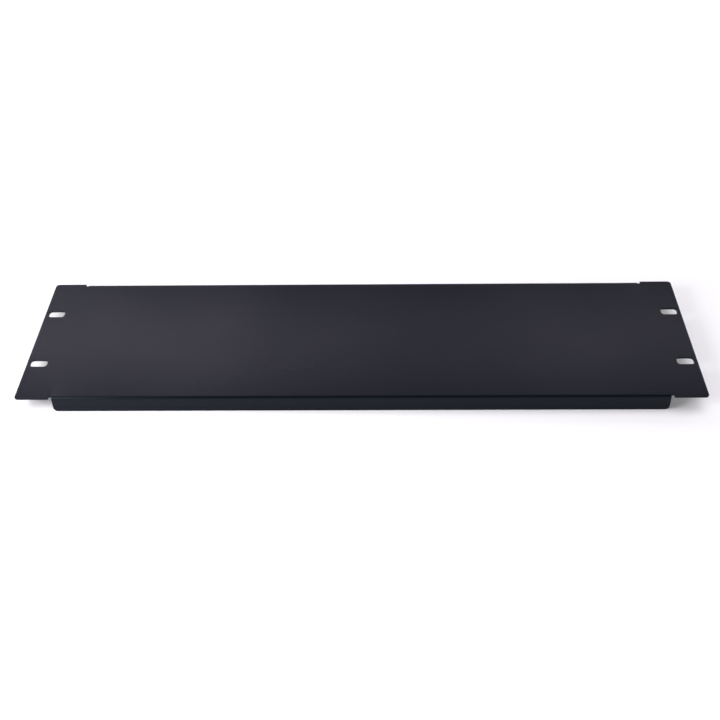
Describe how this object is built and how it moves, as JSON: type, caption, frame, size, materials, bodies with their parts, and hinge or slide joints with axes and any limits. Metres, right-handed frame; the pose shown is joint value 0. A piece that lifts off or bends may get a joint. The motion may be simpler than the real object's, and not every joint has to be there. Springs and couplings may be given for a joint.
{
  "type": "rack blanking panel",
  "caption": "Flat powder-coated sheet-steel panel with slotted ears and folded long edges, which covers unused space in an equipment rack.",
  "frame": {"origin": "middle of the footprint, on the plane of the flange edges that the panel rests on", "axes": "+X along the panel's width, +Y up its height as it hangs in a rack, +Z out of its front face"},
  "size_m": [0.4826, 0.1324, 0.0125],
  "materials": {
    "powder_coat": "satin black powder coat with a fine even texture, over steel"
  },
  "bodies": {
    "root": {"blanking_panel": "powder_coat"}
  },
  "joints": []
}
